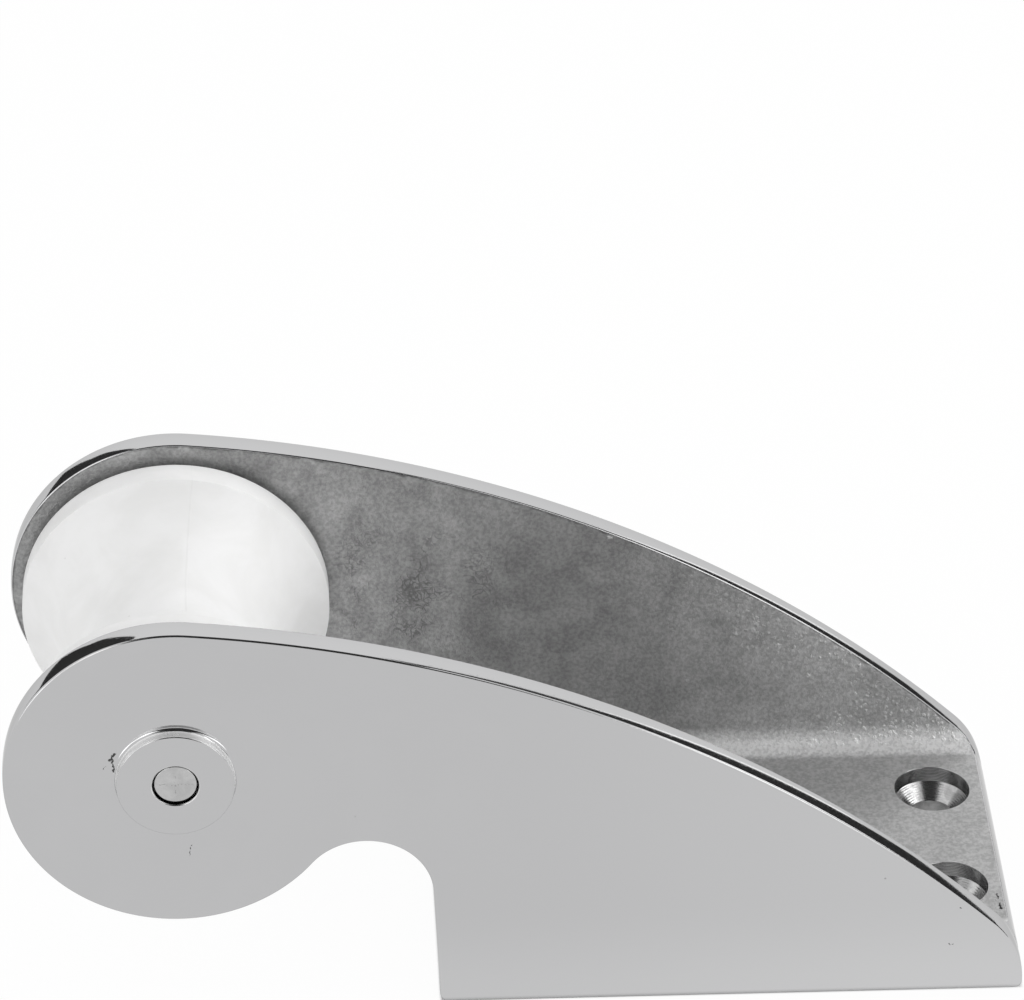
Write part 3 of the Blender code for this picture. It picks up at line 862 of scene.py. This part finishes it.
def makeRoller(shape):
    rim, end, edge = shape["radius"], shape["end"], shape["edge"]
    half = end - shape["land"]
    rise = rim - shape["waist"]
    hollow = (half ** 2 + rise ** 2) / (2 * rise)
    reach = math.asin(half / hollow)
    bore, r = shape["bore"], shape["boreRound"]
    strokes = [
        (rim - edge, end), ((rim - edge, end - edge), -math.pi / 2, 6), (rim, half),
        ((shape["waist"] + hollow, 0.0), 2 * reach, shape["hollowSteps"]),
        (rim, -end + edge), ((rim - edge, -end + edge), -math.pi / 2, 6),
        (bore + r, -end), (bore, -end + r), (bore, end - r), (bore + r, end),
    ]
    bm = turnedSolid((bore + r, end), strokes, shape["steps"], across(axleX, axleZ - shape["drop"], 1))
    roller = newPiece("nylonRoller", bm, whiteNylon)
    finishEdges(roller)
    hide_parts("roller")
    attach(roller, "roller")


makeRoller(rollerShape)
print("roller turned")


screwShape = {
    "head": 7.75 * mm, "headRecess": 2.0 * mm, "headThickness": 3.0 * mm, "shank": 6.0 * mm,
    "thread": 4.2 * mm, "endRecess": 0.5 * mm, "endRound": 0.15 * mm, "chamfer": 0.25 * mm, "dome": 0.12 * mm,
    "key": 7.0 * mm, "keyDepth": 5.0 * mm, "steps": 128,
}
washerShape = {
    "radius": 13.0 * mm, "thickness": 1.0 * mm, "bore": 6.3 * mm, "round": 0.25 * mm, "gap": 0.3 * mm, "steps": 96,
}


def makeScrew(shape):
    face = bossFace - shape["headRecess"]
    seat = face - shape["headThickness"]
    shoulder = -innerFace + washerShape["gap"]
    end = -bossFace + shape["endRecess"]
    c = shape["chamfer"]
    head, shank, thread = shape["head"], shape["shank"], shape["thread"]
    e = shape["endRound"]
    domeWidth = thread - e
    domeRadius = (domeWidth ** 2 + shape["dome"] ** 2) / (2 * shape["dome"])
    domeAngle = math.asin(domeWidth / domeRadius)
    strokes = [
        (head - c, face), ((head - c, face - c), -math.pi / 2, 5), (head, seat), (shank, seat), (shank, shoulder),
        (thread, shoulder), (thread, end + shape["dome"] + e),
        ((thread - e, end + shape["dome"] + e), -math.pi / 2, 8),
        ((0.0, end + domeRadius), -domeAngle, 8),
    ]
    place = across(axleX, axleZ, 1)
    screw = newPiece("axleScrew", turnedSolid((0.0, face), strokes, shape["steps"], place), screwSteel)
    corner = shape["key"] / 2 / math.cos(math.pi / 6)
    bm = bmesh.new()
    bmesh.ops.create_cone(bm, cap_ends=True, segments=6, radius1=corner, radius2=corner,
                          depth=2 * shape["keyDepth"], matrix=place @ Matrix.Translation((0.0, 0.0, face)))
    socket = newPiece("socketTool", bm, screwSteel)
    halfStep = fullTurn / shape["steps"] / 2
    mouth = turnedSolid((0.0, face + c), [(corner + c, face + c), (corner - c, face - c), (0.0, face - c)],
                        shape["steps"], place, halfStep)
    combine(screw, [socket, newPiece("mouthTool", mouth, screwSteel)], "DIFFERENCE")
    finishEdges(screw)
    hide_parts("axle_screw")
    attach(screw, "bracket")


def makeWasher(name, node, outward, shape):
    top = innerFace - shape["gap"]
    low, r = top - shape["thickness"], shape["round"]
    outer, bore = shape["radius"], shape["bore"]
    strokes = [
        (outer - r, top), ((outer - r, top - r), -math.pi / 2, 4), (outer, low + r),
        ((outer - r, low + r), -math.pi / 2, 4), (bore, low), (bore, top),
    ]
    place = across(axleX, axleZ, outward)
    washer = newPiece(name, turnedSolid((bore, top), strokes, shape["steps"], place), washerPlastic)
    finishEdges(washer)
    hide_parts(node)
    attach(washer, "bracket")


makeScrew(screwShape)
makeWasher("portWasher", "port_thrust_washer", -1, washerShape)
makeWasher("starboardWasher", "starboard_thrust_washer", 1, washerShape)
print("axle screw and washers turned")


studio = {
    "floorColor": (0.88, 0.88, 0.88), "floorSize": 6.0,
    "floorGlow": 0.96,              # share of plain white in what the camera and the metal see of the floor
    "worldLevel": 0.82,
    "cardColor": (0.05, 0.05, 0.05),
    "side": 1.6, "front": -2.2, "top": 3.5,         # walls of the booth
    "panelPlace": -2.156, "matHeight": 2 * mm,
    # dark cards on the two sides, as (y, z) corners
    "leftDark": ((0.5, 0.0), (2.75, 0.0), (2.75, 0.9), (3.05, 1.3), (3.3, 2.0), (4.1, 3.5), (0.5, 3.5)),
    "rightDark": ((-0.3, 0.0), (2.2, 0.0), (2.21, 0.38), (2.25, 0.75), (2.3, 1.17), (2.47, 1.67), (2.88, 2.28),
                  (3.7, 3.5), (0.85, 3.5), (0.8, 2.7), (0.4, 2.1), (-0.3, 1.2)),
    # a bright strip along the far edge of the right one
    "rightStrip": ((2.2, 0.2), (2.21, 0.38), (2.25, 0.75), (2.3, 1.17), (2.47, 1.67), (2.5, 1.67), (2.42, 1.17),
                   (2.4, 0.75), (2.37, 0.38), (2.35, 0.2)),
    "stripLevel": 1.6,
    "topReach": 1.1,                # how far back the dark card overhead comes
    # softboxes high in front of both sides, as (azimuth from -Y, elevation) corners in degrees
    "leftSoftbox": ((-24, 53), (-38, 52), (-50, 50), (-62, 47), (-80, 40), (-100, 32), (-100, 46), (-80, 51),
                    (-62, 55), (-50, 57), (-38, 59), (-24, 60)),
    "rightSoftbox": ((50, 38), (58, 38), (74, 36), (89, 30), (104, 22), (104, 34), (89, 41), (74, 46), (58, 46),
                     (50, 42)),
    "softboxPlace": (0.045, 0.0, 0.01), "softboxReach": 1.5, "leftLevel": 0.8, "rightLevel": 2.4,
    # bright panels in front, low on both sides of the camera, as (x, z) corners
    "leftPanel": ((-1.5, 0.0), (-0.75, 0.0), (-0.75, 1.0), (-1.5, 1.0)),
    "rightPanel": ((0.95, 0.0), (1.55, 0.0), (1.55, 0.8), (0.95, 0.8)),
    # and lying on the floor at both sides, as (x, y) corners
    "leftMat": ((-0.2, -0.22), (-0.245, -0.19), (-1.55, -1.7), (-1.08, -2.1)),
    "rightMat": ((0.04, -0.36), (0.84, -2.14), (1.32, -1.85), (0.115, -0.315)),
    "panelLevel": 2.6,
    "darkMiddle": ((-0.75, 0.0), (0.95, 0.0), (0.95, 1.55), (-0.75, 1.55)),     # round the camera
    "darkHigh": ((-1.6, 1.55), (1.6, 1.55), (1.6, 3.5), (-1.6, 3.5)),
}
lampAim = Vector((-0.04, 0.0, 0.03))
lamps = {                           # place, width, height, power
    "topLamp": ((0.0, -0.2, 2.2), 1.6, 1.6, 3.6),
    "aftLamp": ((1.7, 0.1, 0.45), 1.0, 0.7, 15.0),
    "leftLamp": ((-1.3, -0.9, 0.9), 0.9, 0.9, 3.7),
}


def oneOf(tree, *outputs):
    # 1 where any of the given masks is 1
    mask = outputs[0]
    for output in outputs[1:]:
        mask = larger(tree, mask, output)
    return mask


def addFloor():
    bm = bmesh.new()
    bmesh.ops.create_grid(bm, x_segments=1, y_segments=1, size=studio["floorSize"] / 2)
    material, tree, shader, place = newFinish("studioFloor")
    feed(tree, shader, {"Base Color": (*studio["floorColor"], 1.0), "Roughness": 0.9, "Specular IOR Level": 0.0})
    path = put(tree, "LightPath", {}).node.outputs
    glow = put(tree, "Emission", {"Color": white, "Strength": 1.0})
    # no glow straight below the bracket, so the base's holes look down on a floor in shade
    parts = coordinates(tree, place)
    beyondX = math2(tree, "SUBTRACT", math2(tree, "ABSOLUTE", parts["X"]), rearX)
    beyondY = math2(tree, "SUBTRACT", math2(tree, "ABSOLUTE", parts["Y"]), outerFace)
    beyond = larger(tree, beyondX, beyondY)
    seen = times(tree, path["Is Camera Ray"], ramp(tree, beyond, -0.5 * mm, 0.4 * mm))
    mirrored = times(tree, oneOf(tree, path["Is Glossy Ray"], path["Is Transmission Ray"]),
                     ramp(tree, beyond, 0.0, 1.5 * mm))
    share = times(tree, oneOf(tree, seen, mirrored), studio["floorGlow"])
    surface = put(tree, "MixShader", {0: share, 1: shader.outputs[0], 2: glow})
    tree.links.new(surface, tree.nodes["Material Output"].inputs["Surface"])
    newPiece("studioFloor", bm, material)


def addCard(name, corners, material):
    # only the metal's reflections show a card
    bm = bmesh.new()
    bmesh.ops.contextual_create(bm, geom=[bm.verts.new(corner) for corner in corners])
    card = newPiece(name, bm, material)
    card.visible_camera = False
    card.visible_diffuse = False
    card.visible_shadow = False
    card.visible_transmission = False


def cardMaterial(name, color, glow):
    material, tree, shader = newMaterial(name)
    feed(tree, shader, {"Base Color": (*color, 1.0), "Roughness": 1.0, "Specular IOR Level": 0.0,
                        "Emission Color": white, "Emission Strength": glow})
    return material


def addBooth():
    # dark overhead, round the camera and at both sides; bright softboxes, panels and mats between
    side, front, top = studio["side"], studio["front"], studio["top"]
    black = (0.0, 0.0, 0.0)
    darkCard = cardMaterial("darkCard", studio["cardColor"], 0.0)
    panel = cardMaterial("brightPanel", black, studio["panelLevel"])
    strip = cardMaterial("brightStrip", black, studio["stripLevel"])
    reach, middle = studio["topReach"], Vector(studio["softboxPlace"])
    addCard("topCard", [(-side, front, top), (side, front, top), (side, reach, top), (-side, reach, top)], darkCard)
    addCard("rightStrip", [(side, y, z) for y, z in studio["rightStrip"]], strip)
    for hand, x in (("left", -side), ("right", side)):
        addCard(hand + "Card", [(x, y, z) for y, z in studio[hand + "Dark"]], darkCard)
        softbox = cardMaterial(hand + "Softbox", black, studio[hand + "Level"])
        addCard(hand + "Softbox", [middle + direction(*corner) * studio["softboxReach"]
                                   for corner in studio[hand + "Softbox"]], softbox)
    for name in ("leftPanel", "rightPanel"):
        addCard(name, [(x, studio["panelPlace"], z) for x, z in studio[name]], panel)
    for name in ("leftMat", "rightMat"):
        addCard(name, [(x, y, studio["matHeight"]) for x, y in studio[name]], panel)
    for name in ("darkMiddle", "darkHigh"):
        addCard(name, [(x, front, z) for x, z in studio[name]], darkCard)


def addWorld():
    world = bpy.data.worlds.new("studio")
    bpy.context.scene.world = world
    world.use_nodes = True
    tree = world.node_tree
    path = put(tree, "LightPath", {}).node.outputs
    soft = tree.nodes["Background"]
    feed(tree, soft, {"Color": white, "Strength": studio["worldLevel"]})
    plain = put(tree, "Background", {"Color": white, "Strength": 1.0})
    seen = oneOf(tree, path["Is Camera Ray"], path["Is Glossy Ray"], path["Is Transmission Ray"])
    surface = put(tree, "MixShader", {0: seen, 1: soft.outputs[0], 2: plain})
    tree.links.new(surface, tree.nodes["World Output"].inputs["Surface"])


def addLamp(name, place, width, height, power):
    data = bpy.data.lights.new(name, "AREA")
    data.shape = "RECTANGLE"
    data.size = width
    data.size_y = height
    data.energy = power
    lamp = bpy.data.objects.new(name, data)
    aim = lampAim - Vector(place)
    lamp.matrix_world = Matrix.Translation(place) @ aim.to_track_quat("-Z", "Y").to_matrix().to_4x4()
    lamp.visible_camera = False
    lamp.visible_glossy = False
    bpy.context.scene.collection.objects.link(lamp)


addFloor()
addBooth()
addWorld()
for name, lamp in lamps.items():
    addLamp(name, *lamp)
bpy.context.scene.view_settings.view_transform = "Standard"
print("studio lit")
